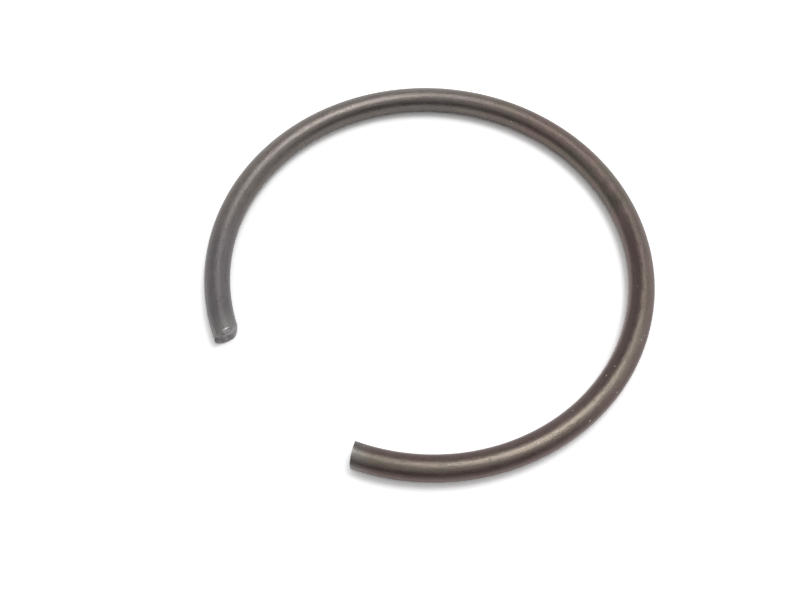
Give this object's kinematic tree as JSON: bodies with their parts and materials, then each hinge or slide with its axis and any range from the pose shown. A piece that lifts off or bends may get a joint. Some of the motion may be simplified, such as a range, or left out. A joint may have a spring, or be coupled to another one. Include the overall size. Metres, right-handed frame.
{
  "type": "circlip retaining ring",
  "caption": "Open retaining ring of round spring wire with cropped ends. It springs into a groove inside a bore and keeps what sits in the bore from sliding out.",
  "frame": {"origin": "centre of the ring, halfway through the thickness of the wire", "axes": "+Z along the ring's axis, which is the axis of the bore that it fits; the opening between the wire's ends is centred on -Y"},
  "size_m": [0.044, 0.0422, 0.0024],
  "materials": {
    "spring_steel": "drawn and coiled spring wire, dulled to a dark brownish grey, with a soft sheen along the wire and brighter bare metal on the cropped ends"
  },
  "bodies": {
    "root": {"retaining_ring": "spring_steel"}
  },
  "joints": []
}
